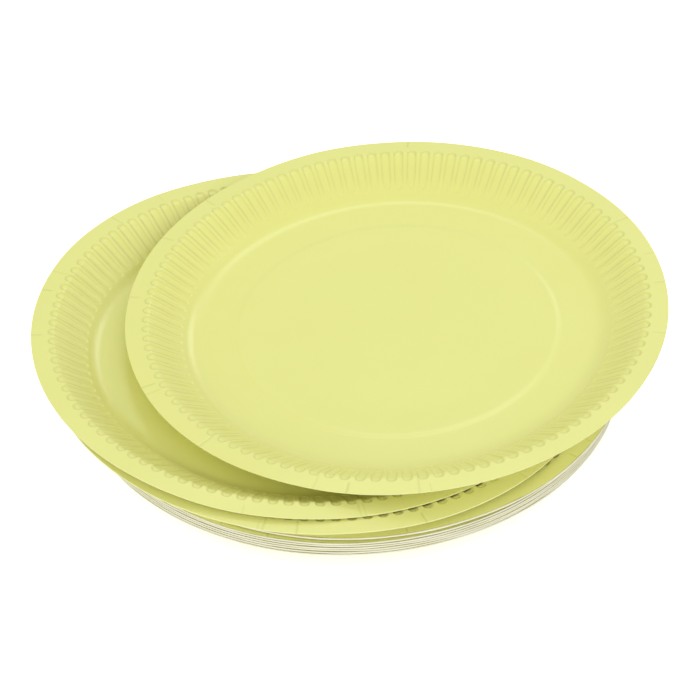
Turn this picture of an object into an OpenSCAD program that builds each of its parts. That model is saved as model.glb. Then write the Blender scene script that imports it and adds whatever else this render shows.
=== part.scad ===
// Stack of round pressed paper plates.
// Six plates nest in a neat pile, and four more lie on them, each slipped sideways and leaning
// on the plate below it. Millimetres, +Z up, origin at the middle of the bottom plate's foot.

/* [Plate] */
// Diameter across the rim
plate_d = 230; // [200:1:260]
// Height of the brim above the floor of the plate
plate_depth = 13; // [10:0.5:16]
// Thickness of the board
board = 0.42; // [0.3:0.02:0.6]
// Width of the flat brim
brim_w = 9.5; // [8:0.5:12]
// Slope of the wall from level, in degrees
wall_angle = 36; // [32:1:42]
// Radius of the bend from the floor up into the wall
floor_bend_r = 12; // [8:0.5:14]

/* [Flutes] */
// Number of flutes round the wall
flute_count = 108; // [96:2:112]
// Width of a flute inside, at its round outer end
flute_w = 4.1; // [3.4:0.1:4.4]
// Narrowing of a flute from its outer to its inner end
flute_taper = 0.8; // [0.4:0.1:1.2]
// Depth of a flute at its outer end, from where it runs out to nothing at its inner end
flute_depth = 0.5; // [0.4:0.05:0.8]
// Plain wall between the floor bend and the flutes
flute_foot = 0.8; // [0.5:0.1:2]

/* [Floor ring] */
// Distance of the embossed ring from the edge of the flat floor
ring_inset = 14.7; // [4:0.1:30]
// Width of the embossed ring
ring_w = 1.8; // [1.2:0.1:3]
// Height of the embossed ring
ring_h = 0.25; // [0.1:0.05:0.4]

/* [Stack] */
// Clearance where one plate lies on another
rest_gap = 0.04; // [0.02:0.01:0.1]
// Sideways stray of the plates of the neat pile
pile_stray = 0.1; // [0:0.05:0.3]
// Slip of plate 7 on plate 6, to the right and to the back
slip_7 = [2.8, 1.1]; // [-6:0.1:6]
// Slip of plate 8 on plate 7, to the right and to the back
slip_8 = [-14.2, -6]; // [-20:0.1:20]
// Slip of plate 9 on plate 8, to the right and to the back
slip_9 = [-8.1, 6.8]; // [-20:0.1:20]
// Slip of plate 10 on plate 9, to the right and to the back
slip_10 = [39.4, 8.7]; // [-45:0.1:45]

/* [Hidden] */
$fn = 144;
lemon = [0.93, 0.93, 0.62];

rim_r = plate_d / 2;
brim_r = rim_r - brim_w;
pitch_angle = 360 / flute_count;

// Steps in the floor bend, how far cutting shapes pass the surfaces that they cut, and a length
// too small to matter that keeps two points apart
bend_steps = 6;
past = 0.5;
hair = 0.001;

// The wall as a straight line from its foot, where the floor bend ends, to the brim
wall_foot_z = floor_bend_r * (1 - cos(wall_angle));
wall_foot_r = brim_r - (plate_depth - wall_foot_z) / tan(wall_angle);
floor_r = wall_foot_r - floor_bend_r * sin(wall_angle);

// Middle of the embossed ring, and half the width of its crest
ring_r = floor_r - ring_inset;
ring_crest = ring_w / 5;

// Moves the corner of wall and brim square to both of them by a depth
function brim_corner(depth) = [brim_r + depth * tan(wall_angle / 2), plate_depth - depth];
// A point of the wall at a distance up from its foot and a depth below its upper face
function on_wall(up, depth) = [wall_foot_r + up * cos(wall_angle) + depth * sin(wall_angle),
                               wall_foot_z + up * sin(wall_angle) - depth * cos(wall_angle)];
// The face at a depth in the board before it is fluted, from the middle to the rim
function face(depth) = concat(
    [[0, -depth], [ring_r - ring_w / 2, -depth], [ring_r - ring_crest, ring_h - depth],
     [ring_r + ring_crest, ring_h - depth], [ring_r + ring_w / 2, -depth]],
    [for (i = [0:bend_steps]) let (a = wall_angle * i / bend_steps)
        [floor_r + (floor_bend_r + depth) * sin(a),
         floor_bend_r - (floor_bend_r + depth) * cos(a)]],
    [brim_corner(depth), [rim_r, plate_depth - depth]]);
function turned(list) = [for (i = [len(list) - 1:-1:0]) list[i]];

// Flutes: the middle of their round ends, how far their shapes reach out, and their length.
// Their floors start a skim off the faces of the wall, so that no face lies on another.
flute_end_r = brim_corner(flute_depth + board)[0];
flute_out_r = flute_end_r + flute_w / 2 + board + past;
flute_run = norm(brim_corner(0) - on_wall(flute_foot, 0));
skim = 0.02;
skim_up = flute_foot - skim * flute_run / flute_depth;

// Board before it is fluted, in section
module board_section() {
    polygon(concat(face(0), turned(face(board))));
}

// One flute's hollow seen from the side, open upwards
module hollow_side() {
    polygon([on_wall(skim_up, -skim), brim_corner(flute_depth),
             [flute_out_r, plate_depth - flute_depth], [flute_out_r, plate_depth + past],
             brim_corner(-past), on_wall(skim_up, -past)]);
}

// The board that one flute pushes down below the wall, seen from the side
module trough_side() {
    polygon([on_wall(skim_up, board / 2), on_wall(skim_up, board - skim),
             brim_corner(flute_depth + board),
             [flute_out_r, plate_depth - flute_depth - board],
             [flute_out_r, plate_depth - board / 2], brim_corner(board / 2)]);
}

// A ring of flutes: the side view given as a child, inside a tongue seen from above that is
// wider than the hollow by a margin on each side
module flutes(margin) {
    half_out = flute_w / 2 + margin;
    half_in = half_out - flute_taper / 2;
    for (i = [0:flute_count - 1])
        rotate(i * pitch_angle)
            intersection() {
                rotate([90, 0, 0]) linear_extrude(flute_w + 4 * margin + past, center = true)
                    children();
                linear_extrude(plate_depth + 2 * past) {
                    translate([flute_end_r, 0]) circle(half_out);
                    polygon([[floor_r, -half_in], [flute_end_r, -half_out],
                             [flute_end_r, half_out], [floor_r, half_in]]);
                }
            }
}

module plate() {
    color(lemon)
        difference() {
            union() {
                rotate_extrude() board_section();
                flutes(board) trough_side();
            }
            flutes(0) hollow_side();
        }
}

// How one plate comes to rest on the next, both taken as shapes that are round about their
// middles: the highest upper face, and the lowest underside, as points [radius, height]
upper_side = face(0);
trough_end_r = flute_end_r + flute_w / 2 + board;
trough_foot = on_wall(flute_foot, board);
trough_brow = brim_corner(flute_depth + board);
trough_step = 0.25;
under_side = concat(
    [for (p = face(board)) if (p[0] < trough_foot[0]) p],
    [for (k = [0:trough_step:1]) trough_foot * (1 - k) + trough_brow * k],
    [[trough_end_r, trough_brow[1]], [trough_end_r + hair, plate_depth - board],
     [rim_r, plate_depth - board]]);

// The turns about a plate's middle at which a circle is tried, with those where a circle of
// the upper plate crosses the inner or the outer edge of the lower plate's brim
turn_step = 5;
turns = [for (t = [0:turn_step:180]) t];
function crossings(r, slip) = [for (edge = [brim_r, rim_r - past])
    acos(max(-1, min(1, (edge * edge - r * r - slip * slip) / (2 * r * max(slip, hair)))))];
// The lift that a corner of the underside needs to clear the lower plate's upper face, for a
// slip along X and a lean up that way, at a turn about the upper plate's middle
function corner_lift(p, t, slip, lean) =
    let (along = p[0] * cos(t),
         reach = norm([slip + along * cos(lean) - p[1] * sin(lean), p[0] * sin(t)]))
    reach > rim_r ? -plate_d
                  : lookup(reach, upper_side) - along * sin(lean) - p[1] * cos(lean);
// The lift that the underside needs to clear an edge of the lower plate's brim: the place on
// the underside straight above it is found in two steps
function edge_lift(edge, t, slip, lean) =
    let (x = edge * cos(t) - slip, y = edge * sin(t),
         z1 = lookup(norm([x / cos(lean), y]), under_side),
         along = (x + z1 * sin(lean)) / cos(lean),
         z2 = lookup(norm([along, y]), under_side))
    norm([along, y]) > rim_r ? -plate_d : plate_depth - along * sin(lean) - z2 * cos(lean);
// The lift that just clears the lower plate all over
function lift(slip, lean) = rest_gap + max(concat(
    [for (p = under_side) if (p[0] > floor_r - past) for (t = concat(turns, crossings(p[0], slip)))
        corner_lift(p, t, slip, lean)],
    [for (edge = [brim_r, rim_r], t = turns) edge_lift(edge, t, slip, lean)]));
// The lean at which that lift is least, by closing in on it from both sides
close_in = 0.4;
function settle(slip, low, high, steps) = steps == 0 ? (low + high) / 2 :
    let (a = low + close_in * (high - low), b = high - close_in * (high - low))
    lift(slip, a) < lift(slip, b) ? settle(slip, low, b, steps - 1)
                                  : settle(slip, a, high, steps - 1);

// Most lean that is tried, and the steps in which it is found
lean_max = 12;
lean_steps = 18;
// Angle by which each plate's stray and flutes are turned on from those of the plate below
stray_turn = 137.5;
slips = concat([for (i = [2:6]) pile_stray * [cos(i * stray_turn), sin(i * stray_turn)]],
               [slip_7, slip_8, slip_9, slip_10]);

// Sets a plate on the one below it
module resting(slip) {
    far = norm(slip);
    heading = atan2(slip[1], slip[0]);
    lean = settle(far, 0, lean_max, lean_steps);
    rotate(heading) translate([far, 0, lift(far, lean)]) rotate([0, -lean, 0])
        rotate(-heading) children();
}

// Sets a plate at its place in the stack, counted from the bottom
module stacked(count) {
    if (count == 1) translate([0, 0, board]) children();
    else stacked(count - 1) resting(slips[count - 2]) children();
}

module stack_plate(count) {
    stacked(count) rotate(count * stray_turn) plate();
}

stack_plate(1);  // plate_01
stack_plate(2);  // plate_02
stack_plate(3);  // plate_03
stack_plate(4);  // plate_04
stack_plate(5);  // plate_05
stack_plate(6);  // plate_06
stack_plate(7);  // plate_07
stack_plate(8);  // plate_08
stack_plate(9);  // plate_09
stack_plate(10);  // plate_10
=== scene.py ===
import math

import bpy
import numpy as np
from mathutils import Matrix, Vector


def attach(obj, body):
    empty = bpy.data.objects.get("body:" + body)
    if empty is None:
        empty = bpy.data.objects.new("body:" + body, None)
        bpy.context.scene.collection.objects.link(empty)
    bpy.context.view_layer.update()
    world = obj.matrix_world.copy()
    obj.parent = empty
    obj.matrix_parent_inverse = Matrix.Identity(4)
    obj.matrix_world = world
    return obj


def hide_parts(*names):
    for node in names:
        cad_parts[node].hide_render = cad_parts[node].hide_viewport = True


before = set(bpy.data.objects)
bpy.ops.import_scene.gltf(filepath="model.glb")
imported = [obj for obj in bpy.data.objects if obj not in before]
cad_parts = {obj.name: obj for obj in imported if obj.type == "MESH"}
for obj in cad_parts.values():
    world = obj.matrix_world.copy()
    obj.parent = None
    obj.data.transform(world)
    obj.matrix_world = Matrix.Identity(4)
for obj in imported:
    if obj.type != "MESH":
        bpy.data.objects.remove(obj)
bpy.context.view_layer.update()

# The plates are worked out in millimetres, and their meshes are made in metres
MM = 0.001

# Sizes of one plate, as in the part's source
RIM_R = 115.0
BRIM_R = 105.5
DEPTH = 13.0
BOARD = 0.42
WALL = math.radians(36)
BEND_R = 12.0
FLUTES = 108
FLUTE_W = 4.1
FLUTE_TAPER = 0.8
FLUTE_DEPTH = 0.5
FLUTE_FOOT = 0.8
# Angle by which each plate's flutes are turned on from those of the plate below, in degrees
SPIN = 137.5

# Foot of the wall, edge of the flat floor, middle of the flutes' round ends, and their length
WALL_FOOT_Z = BEND_R * (1 - math.cos(WALL))
WALL_FOOT_R = BRIM_R - (DEPTH - WALL_FOOT_Z) / math.tan(WALL)
FLOOR_R = WALL_FOOT_R - BEND_R * math.sin(WALL)
FLUTE_END_R = BRIM_R + (FLUTE_DEPTH + BOARD) * math.tan(WALL / 2)
FLUTE_RUN = (BRIM_R - WALL_FOOT_R) / math.cos(WALL) - FLUTE_FOOT

# Trims that are the scene's own.
# Radius of the round brow between wall and brim
BROW_R = 2.2
# The embossed ring is a gentle rise from nearer the middle, and a short fall outside it
RISE_START_R = 52
RISE_RUN = 15
RING_R = 69.0
RING_W = 3.4
RING_H = 0.28
# A flute's inner end: where its round part starts outside the wall's foot, and its radius as a
# share of half the flute's width
INNER_END_OUT = 2.4
INNER_END_SHARE = 0.86
# A flute's upper face: how far its outline passes the pressed one, the fall that it takes at its
# foot, and the share of the source's depth that is added to that
FACE_MARGIN = 0.10
FOOT_FALL = 0.32
FOOT_FALL_R = 89.8
FOOT_FALL_RUN = 1.4
DEPTH_SHARE = 0.86
# Its brinks are a blend of a sharp one, which starts a little outside the outline, and a soft
# one. The share of the sharp one grows towards both ends of the flute.
SHARP_OUT = 0.06
SHARP_W = 0.80
SOFT_W = 2.1
SHARP_SHARE = 0.5
SHARP_MORE = 0.45
SHARP_OUTER_R = 101
SHARP_OUTER_RUN = 5
SHARP_INNER_R = 94.8
SHARP_INNER_RUN = 2.5
# The painted shade line along a flute's outline, which stands in for the shade in the crevice
# there: how far inside it lies, its width, where it begins
LINE_IN = 0.2
LINE_W = 0.38
LINE_START_R = 92
LINE_RUN = 6
# The troughs of the underside: width of their sides, and how round these are
TROUGH_SIDE_W = 1.2
TROUGH_ROUND = 2.3

# Steps in the two bends of the plain face, and points in the fine table that is made of it
BEND_STEPS = 24
BROW_STEPS = 16
FINE_POINTS = 4601


def upper_profile():
    """Radius and height of the plain upper face, closely stepped, with a round brow."""
    points = [(0.0, 0.0), (FLOOR_R, 0.0)]
    for k in range(1, BEND_STEPS + 1):
        a = WALL * k / BEND_STEPS
        points.append((FLOOR_R + BEND_R * math.sin(a), BEND_R * (1 - math.cos(a))))
    reach = BROW_R * math.tan(WALL / 2)
    centre_r = BRIM_R - reach * math.cos(WALL) + BROW_R * math.sin(WALL)
    centre_z = DEPTH - reach * math.sin(WALL) - BROW_R * math.cos(WALL)
    for k in range(BROW_STEPS + 1):
        a = WALL * (1 - k / BROW_STEPS)
        points.append((centre_r - BROW_R * math.sin(a), centre_z + BROW_R * math.cos(a)))
    points.append((RIM_R, DEPTH))
    return np.array(points)


PROFILE = upper_profile()
FINE_R = np.linspace(0, RIM_R, FINE_POINTS)
FINE_Z = np.interp(FINE_R, PROFILE[:, 0], PROFILE[:, 1])
# Length along the face for each millimetre outwards: the board's share of height there
FINE_SLANT = np.sqrt(1 + np.gradient(FINE_Z, FINE_R) ** 2)


def smooth(t):
    """Eases from 0 to 1 as t does."""
    t = np.clip(t, 0, 1)
    return t * t * (3 - 2 * t)


def across_flute(theta):
    """Angle from the middle of the nearest flute."""
    pitch = 2 * math.pi / FLUTES
    return (theta + pitch / 2) % pitch - pitch / 2


def tongue(r, across, margin):
    """How far a point lies inside the outline of its flute seen from above."""
    x = r * np.cos(across)
    y = np.abs(r * np.sin(across))
    half_out = FLUTE_W / 2 + margin
    half_in = half_out - FLUTE_TAPER / 2
    half_here = half_in + (half_out - half_in) * (x - FLOOR_R) / (FLUTE_END_R - FLOOR_R)
    inner_x = WALL_FOOT_R + INNER_END_OUT
    outer_end = half_out - np.hypot(np.maximum(x - FLUTE_END_R, 0), y)
    inner_end = half_here * INNER_END_SHARE - np.hypot(np.maximum(inner_x - x, 0), y)
    side = half_here - y
    return np.where(x > FLUTE_END_R, outer_end, np.where(x < inner_x, inner_end, side))


def flute_fall(r):
    """Depth of a flute's floor below the wall at a radius, as in the part's source."""
    up = (r - WALL_FOOT_R) / math.cos(WALL) - FLUTE_FOOT
    return FLUTE_DEPTH * np.clip(up / FLUTE_RUN, 0, 1)


def ring_rise(r):
    """Height of the embossed ring at a radius."""
    rise = smooth((r - RISE_START_R) / RISE_RUN)
    return RING_H * rise * (1 - smooth((r - RING_R + RING_W / 2) / RING_W))


def upper_z(r, theta, wave):
    """Height of the upper face, where the brim is raised by a wave."""
    z = np.interp(r, FINE_R, FINE_Z) + ring_rise(r)
    inside = tongue(r, across_flute(theta), FACE_MARGIN)
    fall = flute_fall(r) * DEPTH_SHARE + FOOT_FALL * smooth((r - FOOT_FALL_R) / FOOT_FALL_RUN)
    outer = smooth((r - SHARP_OUTER_R) / SHARP_OUTER_RUN)
    inner = smooth((SHARP_INNER_R - r) / SHARP_INNER_RUN)
    sharp = SHARP_SHARE + SHARP_MORE * (outer + inner)
    s = sharp * smooth((inside + SHARP_OUT) / SHARP_W) + (1 - sharp) * smooth(inside / SOFT_W)
    return z - fall * s + wave


def outline_painted_shade_share(r, theta):
    """Share of the painted shade line, which stands in for the shade of the crevice, along the
    edge of a flute at a point of the upper face.
    """
    inside = tongue(r, across_flute(theta), FACE_MARGIN)
    near = np.exp(-((inside - LINE_IN) / LINE_W) ** 2)
    return near * smooth((r - LINE_START_R) / LINE_RUN) * (r < FLUTE_END_R + FLUTE_W)


def lower_z(r, theta, wave):
    """Height of the underside, where the brim is raised by a wave."""
    plain_z = np.interp(r, FINE_R, FINE_Z) + ring_rise(r)
    z = plain_z - BOARD * np.interp(r, FINE_R, FINE_SLANT)
    inside = tongue(r, across_flute(theta), BOARD)
    s = np.clip(inside / TROUGH_SIDE_W, 0, 1)
    return z - flute_fall(r) * (1 - (1 - s) ** TROUGH_ROUND) + wave


# Places across one flute's pitch at which the mesh has points, as shares of the pitch. Those at
# the flute's edge, on both sides, also carry the creases of the brim.
FLUTE_EDGE = 0.345
ACROSS = np.array([-.5, -.40, -FLUTE_EDGE, -.30, -.24, -.13, 0, .13, .24, .30, FLUTE_EDGE, .40])
ANGLES = np.concatenate([(i + ACROSS) * 2 * math.pi / FLUTES for i in range(FLUTES)])

# Radii at which the mesh has rings of points, on the upper side from the middle to the rim
FLOOR_ROWS = [14, 30, 46, 52, 55, 58, 61, 64, 66.4, 67.3, 67.7, 68.1, 68.5, 69.0, 69.5, 69.9,
              70.3, 70.7, 72, 78, 82]
BEND_ROWS = [83.7, 84.9, 86.1, 87.3, 88.4, 89.2]
FOOT_ROWS = [89.8, 90.4, 91.0, 91.4, 91.65, 91.9, 92.15, 92.4, 92.7, 93.1]
WALL_ROWS = [93.8, 95.0, 96.3, 97.6, 98.9, 100.2, 101.5, 102.7]
BROW_ROWS = [103.6, 104.2, 104.7, 105.15, 105.6, 106.0, 106.35, 106.65, 106.95, 107.2, 107.4,
             107.6, 107.8, 108.0, 108.2]
BRIM_ROWS = [108.6, 109.6, 111.2, 112.8, 114.0, 114.7]
# The same on the underside, from the brim to the middle
LOW_ROWS = [108.2, 107.6, 107.0, 106.2, 105.2, 104.0, 102.0, 99.5, 97.0, 94.5, 92.8, 91.6, 90.6,
            89.4, 87.6, 85.6, 83.7, 78, 70.7, 69.9, 69.0, 68.1, 67.3, 64, 58, 52, 40, 18]
# Each ring takes every so many of the angles: few inside two radii, more on the bend
MIDDLE_STEP = 12
BEND_STEP = 6
MIDDLE_R = 66
LOW_MIDDLE_R = 91

# Depth of the creases, and the length over which they start
CREASE_DEPTH = 0.10
CREASE_RUN = 1.2
# Angle between two faces from which their edge is shown sharp
SHARP_ANGLE = math.radians(50)


class Shell:
    """Collects the rings of a closed shell, and the faces between them."""

    def __init__(self, warp, creases):
        self.points, self.marks, self.outline_painted_shade = [], [], []
        self.faces, self.card = [], []
        self.size, self.last = 0, None
        self.warp, self.creases = warp, creases

    def add(self, points, marks, outline_painted_shade):
        """Adds points with their shares of a crease and of the painted shade line along a
        flute's outline.
        """
        first = self.size
        self.points.append(points)
        self.marks.append(marks)
        self.outline_painted_shade.append(outline_painted_shade)
        self.size += len(points)
        return np.arange(first, self.size)

    def put(self, rows, card):
        """Adds faces, of plain card or of coat."""
        self.faces.append(rows)
        self.card.append(np.full(len(rows), card))

    def crease(self, r, theta):
        """Share of full depth of the creases at a point of the brim."""
        out = np.zeros_like(theta)
        for angle, wide, start, share in self.creases:
            off = (theta - angle + math.pi) % (2 * math.pi) - math.pi
            if r > start:
                hit = share * np.exp(-(off * r / wide) ** 2)
                out = np.maximum(out, hit * smooth((r - start) / CREASE_RUN))
        return out

    def ring(self, r, step, height, card=False):
        """Adds a ring. Creases and the painted shade lines along the flutes' outlines are only
        in the upper face itself.
        """
        theta = ANGLES[::step]
        radii = np.full_like(theta, r)
        z = height(radii, theta, self.warp(radii, theta))
        mark = self.crease(r, theta)
        outline_painted_shade = np.zeros(len(theta))
        if height is upper_z:
            z = z - CREASE_DEPTH * mark
            # Painted shade along the flute's outline, standing in for the shade of its crevice
            outline_painted_shade = outline_painted_shade_share(radii, theta)
        points = np.stack([radii * np.cos(theta), radii * np.sin(theta), z], 1)
        ids = self.add(points, mark, outline_painted_shade)
        if self.last is None:
            self.fan(ids, height, card, down=False)
        else:
            self.bridge(self.last, ids, card)
        self.last = ids

    def fan(self, ids, height, card, down):
        """Adds the middle of the plate and the faces between it and a ring."""
        zero = np.zeros(1)
        middle = self.add(np.array([[0, 0, height(zero, zero, 0)[0]]]), zero, zero)[0]
        rows = np.stack([np.full_like(ids, middle), ids, np.roll(ids, -1)], 1)
        self.put(rows[:, ::-1] if down else rows, card)

    def bridge(self, a, b, card):
        """Adds faces between one ring and the next, which may have more or fewer points."""
        if len(a) == len(b):
            self.put(np.stack([a, b, np.roll(b, -1), np.roll(a, -1)], 1), card)
            return
        few, many = (a, b) if len(a) < len(b) else (b, a)
        ratio = len(many) // len(few)
        rows = []
        for j in range(len(few)):
            p, q = few[j], few[(j + 1) % len(few)]
            for k in range(ratio):
                u, v = many[j * ratio + k], many[(j * ratio + k + 1) % len(many)]
                rows.append((p if k < ratio / 2 else q, u, v))
                if k == (ratio - 1) // 2:
                    rows.append((p, v, q))
        rows = np.array(rows)
        self.put(rows if len(a) < len(b) else rows[:, ::-1], card)

    def close(self):
        """Closes the shell in the middle of the underside."""
        self.fan(self.last, lower_z, True, down=True)

    def mesh(self, name, place):
        """The finished mesh at its place, with the values that its materials use."""
        own = np.concatenate(self.points)
        points = (own @ place[:3, :3].T + place[:3, 3]) * MM
        faces = [row for block in self.faces for row in block.tolist()]
        me = bpy.data.meshes.new(name)
        me.from_pydata(points.tolist(), [], faces)
        me.polygons.foreach_set("material_index", np.concatenate(self.card).astype(np.int32))
        me.polygons.foreach_set("use_smooth", np.ones(len(faces), bool))
        # The crease and outline shares darken the coat as painted shade; the radius places the
        # wall's painted shade
        values = {"crease": np.concatenate(self.marks), "outline_painted_shade": np.concatenate(self.outline_painted_shade),
                  "radius": np.hypot(own[:, 0], own[:, 1]) / RIM_R}
        for key, value in values.items():
            attribute = me.attributes.new(key, "FLOAT", "POINT")
            attribute.data.foreach_set("value", value.astype(np.float32))
        me.update()
        me.set_sharp_from_angle(angle=SHARP_ANGLE)
        return me


# The rim: how far inside it the coat ends on a coated and on a bare edge, its upper corner, and
# how far above the underside the coat of a coated edge ends
COATED_IN = 0.12
BARE_IN = 0.62
CORNER_IN = 0.03
CORNER_DROP = 0.06
COAT_END_UP = 0.12
# How far a coated and a bare cut edge swells downwards at most, and where the swelling ends
COATED_SWELL = 0.06
BARE_SWELL = 0.36
SWELL_IN = 0.6


def plate_shell(detail, coated_edge, warp, creases):
    """Detail 0 is a plate deep in the pile, 1 one that shows its brim, 2 one seen from above."""
    wall_step = (2, 2, 1)[detail]
    brow_step = (2, 1, 1)[detail]
    low_step = (4, 2, 2)[detail]
    swell = COATED_SWELL if coated_edge else BARE_SWELL

    def corner(r, theta, wave):
        return upper_z(r, theta, wave) - CORNER_DROP

    def coat_end(r, theta, wave):
        return lower_z(r, theta, wave) + COAT_END_UP

    # The swelling is uneven round the rim, by short waves that come and go
    def swollen(r, theta, wave):
        uneven = 0.7 + 0.3 * np.sin(5 * theta + 9 * warp(r, theta)) * np.sin(23 * theta)
        return lower_z(r, theta, wave) - swell * uneven

    s = Shell(warp, creases)
    for r in FLOOR_ROWS + BEND_ROWS:
        s.ring(r, MIDDLE_STEP if r < MIDDLE_R else BEND_STEP, upper_z)
    for r in FOOT_ROWS + WALL_ROWS:
        s.ring(r, wall_step, upper_z)
    for r in BROW_ROWS[::2] if detail == 0 else BROW_ROWS:
        s.ring(r, brow_step, upper_z)
    for r in BRIM_ROWS:
        s.ring(r, brow_step, upper_z)
    s.ring(RIM_R - (COATED_IN if coated_edge else BARE_IN), brow_step, upper_z)
    s.ring(RIM_R - CORNER_IN, brow_step, corner, card=not coated_edge)
    if coated_edge:
        s.ring(RIM_R, brow_step, coat_end)
    s.ring(RIM_R, brow_step, swollen, card=True)
    s.ring(RIM_R - SWELL_IN, low_step, lower_z, card=True)
    for r in LOW_ROWS:
        s.ring(r, low_step if r > LOW_MIDDLE_R else MIDDLE_STEP, lower_z, card=True)
    s.close()
    return s


# The plates, from the bottom up: how many, the first that shows its brim, the first with a
# coated edge, and the first that is seen from above
PLATES = 10
FIRST_BRIM = 7
FIRST_COATED = 8
FIRST_OPEN = 9

# Creases seen on the brims, as directions from the middle of the plate in degrees
SEEN = {7: [-80.7, 21.0], 8: [-100.6, -99.9, -93.2, -68.8],
        9: [-99.9, -77.5, -76.5, 171.0, 139.0], 10: [-106.9, -99.9, -85.1, -84.5, 173.6, 12.0]}
# Creases in all, the least angle from a drawn one to those seen, and the stretch in front in
# which none are drawn on the plates that show their brims
CREASES = 16
CREASE_APART = 5
FRONT = (-125, -45)
# Radii at which creases start: on the wall, on the brow and on the brim
CREASE_STARTS = [101.0, 106.5, 108.5, 110.0]


def crease_list(count, rng):
    """Creases pressed into a brim: angle on the plate, width, inner end and strength."""
    seen = SEEN.get(count, [])
    chosen = list(seen)
    while len(chosen) < CREASES:
        a = rng.uniform(-180, 180)
        in_front = count >= FIRST_BRIM and FRONT[0] < a < FRONT[1]
        if not in_front and all(abs(a - b) > CREASE_APART for b in seen):
            chosen.append(a)
    out = []
    for a in chosen:
        flute = (a - SPIN * count) * FLUTES / 360
        side = rng.choice([-FLUTE_EDGE, FLUTE_EDGE])
        angle = (round(flute - side) + side) * 2 * math.pi / FLUTES
        wide = rng.uniform(0.25, 0.4)
        start = rng.choice(CREASE_STARTS)
        strength = rng.uniform(0.35, 1.0)
        out.append((angle, wide, start, strength))
    return out


# A plate's place is found from the points of its solid within this distance of the rim, and
# closed in on in a few passes
RIM_BAND = 3
PLACE_PASSES = 3


def thin_way(points, mid):
    """The direction, upwards, in which points spread least."""
    way = np.linalg.eigh(np.cov((points - mid).T))[1][:, 0]
    return way * np.sign(way[2])


def plate_place(name, count):
    """The place of a plate from its solid: the middle of its floor, its lean and its turn."""
    co = np.array([v.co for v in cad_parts[name].data.vertices]) / MM
    mid = co.mean(0)
    axis = thin_way(co, mid)
    for _ in range(PLACE_PASSES):
        off = co - mid
        h = off @ axis
        out = np.linalg.norm(off - np.outer(h, axis), axis=1)
        rim = out > out.max() - RIM_BAND
        top = co[rim][h[rim] > h[rim].mean()]
        flat = top.mean(0)
        axis = thin_way(top, flat)
        x = np.cross([0.0, 1.0, 0.0], axis)
        x /= np.linalg.norm(x)
        y = np.cross(axis, x)
        # The middle of the circle through the top of the rim, by least squares
        p = np.stack([(top - flat) @ x, (top - flat) @ y], 1)
        circle = np.c_[2 * p, np.ones(len(p))]
        k = np.linalg.lstsq(circle, (p ** 2).sum(1), rcond=None)[0]
        mid = flat + x * k[0] + y * k[1] - axis * DEPTH
    lean = Vector((0.0, 0.0, 1.0)).rotation_difference(Vector(axis)).to_matrix()
    place = np.eye(4)
    place[:3, :3] = np.array(lean @ Matrix.Rotation(math.radians(SPIN * count), 3, "Z"))
    place[:3, 3] = mid
    return place


# Sockets of a Mix node that mixes colours: share, first and second colour, and result
MIX_SHARE, MIX_FIRST, MIX_SECOND, MIX_RESULT = 0, 6, 7, 2


def material(name):
    m = bpy.data.materials.new(name)
    m.use_nodes = True
    return m, m.node_tree.nodes, m.node_tree.links, m.node_tree.nodes["Principled BSDF"]


def node(nodes, kind, **settings):
    """A new node. Each setting is an input's value, or else a property."""
    n = nodes.new(kind)
    for key, value in settings.items():
        if key in n.inputs:
            n.inputs[key].default_value = value
        else:
            setattr(n, key, value)
    return n


def feed(links, value, socket):
    """Gives a socket a plain value or another node's output."""
    if isinstance(value, bpy.types.NodeSocket):
        links.new(value, socket)
    else:
        socket.default_value = value


def mixed(nodes, links, share, first, second, blend="MIX"):
    n = node(nodes, "ShaderNodeMix", data_type="RGBA", blend_type=blend)
    feed(links, share, n.inputs[MIX_SHARE])
    feed(links, first, n.inputs[MIX_FIRST])
    feed(links, second, n.inputs[MIX_SECOND])
    return n.outputs[MIX_RESULT]


def maths(nodes, links, operation, *values):
    n = node(nodes, "ShaderNodeMath", operation=operation)
    for value, socket in zip(values, n.inputs):
        feed(links, value, socket)
    return n.outputs[0]


def eased(nodes, links, value, start, end):
    """Goes softly from 0 to 1 as a value goes from start to end."""
    n = node(nodes, "ShaderNodeMapRange", interpolation_type="SMOOTHSTEP")
    n.inputs["From Min"].default_value = start
    n.inputs["From Max"].default_value = end
    links.new(value, n.inputs["Value"])
    return n.outputs[0]


def noise(nodes, links, **settings):
    where = node(nodes, "ShaderNodeTexCoord")
    n = node(nodes, "ShaderNodeTexNoise", **settings)
    links.new(where.outputs["Object"], n.inputs["Vector"])
    return n.outputs["Fac"]


def measure(nodes, name):
    """One of the values that Shell.mesh gives to its points."""
    return node(nodes, "ShaderNodeAttribute", attribute_name=name).outputs["Fac"]


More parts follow.
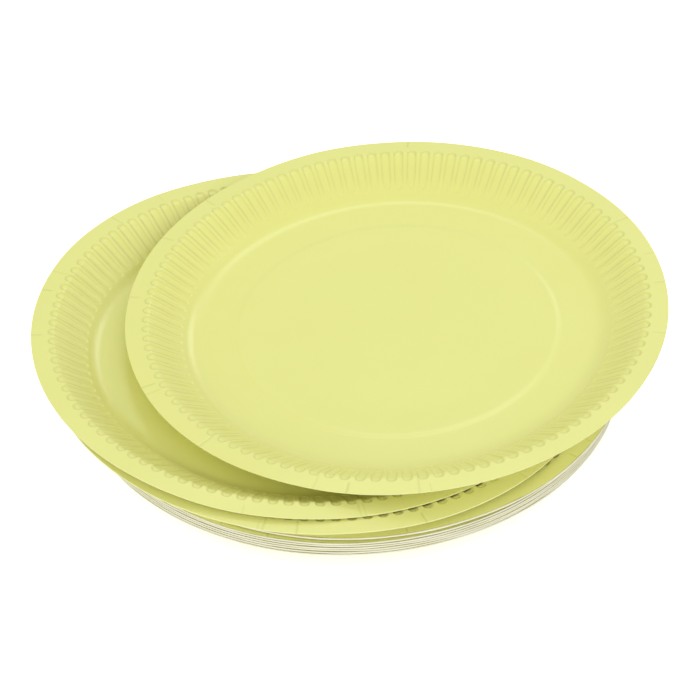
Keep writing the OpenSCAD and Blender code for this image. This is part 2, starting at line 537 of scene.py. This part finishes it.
def coated():
    """The pastel yellow upper side: thin satin coat, faint mottling, and painted shade in the
    creases, along the flutes' outlines and on the wall.
    """
    yellow = (0.895, 0.905, 0.276, 1)
    paler = (0.920, 0.930, 0.302, 1)
    # Painted shade for the wall
    wall_painted_shade = (0.968, 0.952, 0.94, 1)
    # Painted shade: a dark olive for the creases and the flutes' outlines, and how strongly each
    # is painted
    painted_shade_colour = (0.58, 0.57, 0.15, 1)
    crease_painted_shade_strength = 0.5
    outline_painted_shade_strength = 0.34
    inner_wall = (0.73, 0.79)
    outer_wall = (0.94, 0.86)
    m, nodes, links, bsdf = material("plate_coat")
    tools = (nodes, links)
    mottling = noise(*tools, Scale=45.0, Detail=4.0, Roughness=0.6)
    tint = mixed(*tools, mottling, yellow, paler)
    # The wall is darkened a little as painted shade, standing in for the shade and yellow bounce
    # light on it. Its two sides are shares of the rim's radius.
    radius = measure(nodes, "radius")
    inner, outer = eased(*tools, radius, *inner_wall), eased(*tools, radius, *outer_wall)
    band = maths(*tools, "MULTIPLY", inner, outer)
    # The coat on the wall tinted darker: painted shade
    deep = mixed(*tools, band, tint, wall_painted_shade, "MULTIPLY")
    # Painted shade: the creases, which are real grooves, and the flutes' outlines are darkened
    # towards a dark olive, standing in for the shade in these hollows
    crease = maths(*tools, "MULTIPLY", measure(nodes, "crease"), crease_painted_shade_strength)
    line = maths(*tools, "MULTIPLY_ADD", measure(nodes, "outline_painted_shade"), outline_painted_shade_strength, crease)
    links.new(mixed(*tools, line, deep, painted_shade_colour), bsdf.inputs["Base Color"])
    bump = node(nodes, "ShaderNodeBump", Strength=0.06, Distance=0.0002)
    links.new(noise(*tools, Scale=900.0, Detail=3.0), bump.inputs["Height"])
    links.new(bump.outputs[0], bsdf.inputs["Normal"])
    bsdf.inputs["Roughness"].default_value = 0.25
    bsdf.inputs["IOR"].default_value = 1.48
    return m


def plain_card():
    """The uncoated white underside and cut edge, with short fibres."""
    cream = (0.93, 0.90, 0.62, 1)
    white = (0.98, 0.955, 0.80, 1)
    m, nodes, links, bsdf = material("plate_card")
    fibres = noise(nodes, links, Scale=700.0, Detail=3.0, Roughness=0.7)
    links.new(mixed(nodes, links, fibres, cream, white), bsdf.inputs["Base Color"])
    bsdf.inputs["Roughness"].default_value = 0.85
    return m


# Waves of the brims: how many go round, the most that each raises the brim on a plate that shows
# it and on one that doesn't, and where they start
WAVES = (3, 5, 8, 13)
BRIM_WAVE = 0.10
PILE_WAVE = 0.07
WAVE_START_R = 96
WAVE_RUN = 19


def make_plate(count, rng, coat, card):
    """One plate in the place of its solid, with the coat above and plain card below."""
    name = "plate_%02d" % count
    detail = 2 if count >= FIRST_OPEN else 1 if count >= FIRST_BRIM else 0
    phases = rng.uniform(0, 2 * math.pi, len(WAVES))
    sizes = rng.uniform(0.5, 1.0, len(WAVES)) * (BRIM_WAVE if detail else PILE_WAVE)

    def warp(r, theta):
        wave = sum(a * np.cos(k * theta + p) for k, a, p in zip(WAVES, sizes, phases))
        return wave * smooth((r - WAVE_START_R) / WAVE_RUN)

    shell = plate_shell(detail, count >= FIRST_COATED, warp, crease_list(count, rng))
    me = shell.mesh("paper_" + name, plate_place(name, count))
    me.materials.append(coat)
    me.materials.append(card)
    piece = bpy.data.objects.new("paper_" + name, me)
    bpy.context.scene.collection.objects.link(piece)
    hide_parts(name)
    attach(piece, "root")


def make_plates():
    rng = np.random.default_rng(7)
    coat, card = coated(), plain_card()
    for count in range(1, PLATES + 1):
        make_plate(count, rng, coat, card)


# Half the side of the table top that shows, in metres
TABLE_HALF = 4.0


def pale_floor():
    """Plain white table: brighter to the camera, so that it is white where no shadow falls."""
    own = (0.92, 0.92, 0.92, 1)
    to_camera = (1.82, 1.82, 1.82, 1)
    m, nodes, links, bsdf = material("pale_floor")
    nodes.remove(bsdf)
    rays = node(nodes, "ShaderNodeLightPath")
    flat = node(nodes, "ShaderNodeBsdfDiffuse")
    tint = mixed(nodes, links, rays.outputs["Is Camera Ray"], own, to_camera)
    links.new(tint, flat.inputs["Color"])
    links.new(flat.outputs[0], nodes["Material Output"].inputs["Surface"])
    return m


def make_floor():
    a = TABLE_HALF
    plane = bpy.data.meshes.new("floor")
    plane.from_pydata([(-a, -a, 0), (a, -a, 0), (a, a, 0), (-a, a, 0)], [], [(0, 1, 2, 3)])
    plane.materials.append(pale_floor())
    floor = bpy.data.objects.new("floor", plane)
    bpy.context.scene.collection.objects.link(floor)


def make_world():
    """An even white world: full strength to the camera, less in gloss, least in soft light."""
    gloss_share = 0.8
    soft_strength = 0.55
    world = bpy.data.worlds.new("studio")
    bpy.context.scene.world = world
    world.use_nodes = True
    nodes, links = world.node_tree.nodes, world.node_tree.links
    rays = node(nodes, "ShaderNodeLightPath").outputs
    share = maths(nodes, links, "MULTIPLY_ADD", rays["Is Glossy Ray"], gloss_share,
                  rays["Is Camera Ray"])
    level = node(nodes, "ShaderNodeMapRange")
    level.inputs["To Min"].default_value = soft_strength
    level.inputs["To Max"].default_value = 1.0
    links.new(share, level.inputs["Value"])
    links.new(level.outputs["Result"], nodes["Background"].inputs["Strength"])
    nodes["Background"].inputs["Color"].default_value = (1, 1, 1, 1)


# Softboxes that look at the origin: name, place in metres, width and height, and watts
SOFTBOXES = [
    ("softbox_front", (-0.20, -1.30, 1.20), (2.2, 1.5), 7.2),
    ("softbox_low", (-0.2, -1.7, 0.40), (2.2, 0.6), 6.4),
    ("softbox_top", (0.117, 0.830, 1.244), (0.6, 0.26), 1.4),
    ("softbox_right", (1.3, 0.2, 0.95), (1.0, 1.0), 2.6),
    ("softbox_left", (-1.3, 0.2, 0.95), (1.0, 1.0), 1.6),
    ("softbox_back", (0.52, 1.22, 0.90), (0.36, 0.36), 1.4),
]


def make_softbox(name, place, size, power):
    lamp = bpy.data.lights.new(name, "AREA")
    lamp.shape = "RECTANGLE"
    lamp.size, lamp.size_y = size
    lamp.energy = power
    box = bpy.data.objects.new(name, lamp)
    box.location = place
    box.rotation_euler = (-Vector(place)).to_track_quat("-Z", "Y").to_euler()
    bpy.context.scene.collection.objects.link(box)


# The camera as fitted to the photograph: its place in metres, where it looks, its upward
# direction, and its focal length and the picture's width in pixels
CAMERA_AT = (0.01685, -0.77334, 0.65964)
CAMERA_AHEAD = (-0.01612, 0.77143, -0.63612)
CAMERA_UP = (0.01955, 0.63632, 0.77118)
FOCAL_PX = 2356
PICTURE_PX = 700
SENSOR_MM = 36.0


def make_camera():
    data = bpy.data.cameras.new("camera")
    data.sensor_width = SENSOR_MM
    data.lens = SENSOR_MM * FOCAL_PX / PICTURE_PX
    camera = bpy.data.objects.new("camera", data)
    ahead = Vector(CAMERA_AHEAD).normalized()
    right = ahead.cross(Vector(CAMERA_UP)).normalized()
    turn = Matrix((right, right.cross(ahead), -ahead)).transposed()
    camera.matrix_world = Matrix.Translation(CAMERA_AT) @ turn.to_4x4()
    bpy.context.scene.collection.objects.link(camera)
    bpy.context.scene.camera = camera


make_plates()
make_floor()
make_world()
for softbox in SOFTBOXES:
    make_softbox(*softbox)
make_camera()
bpy.context.scene.view_settings.view_transform = "Standard"
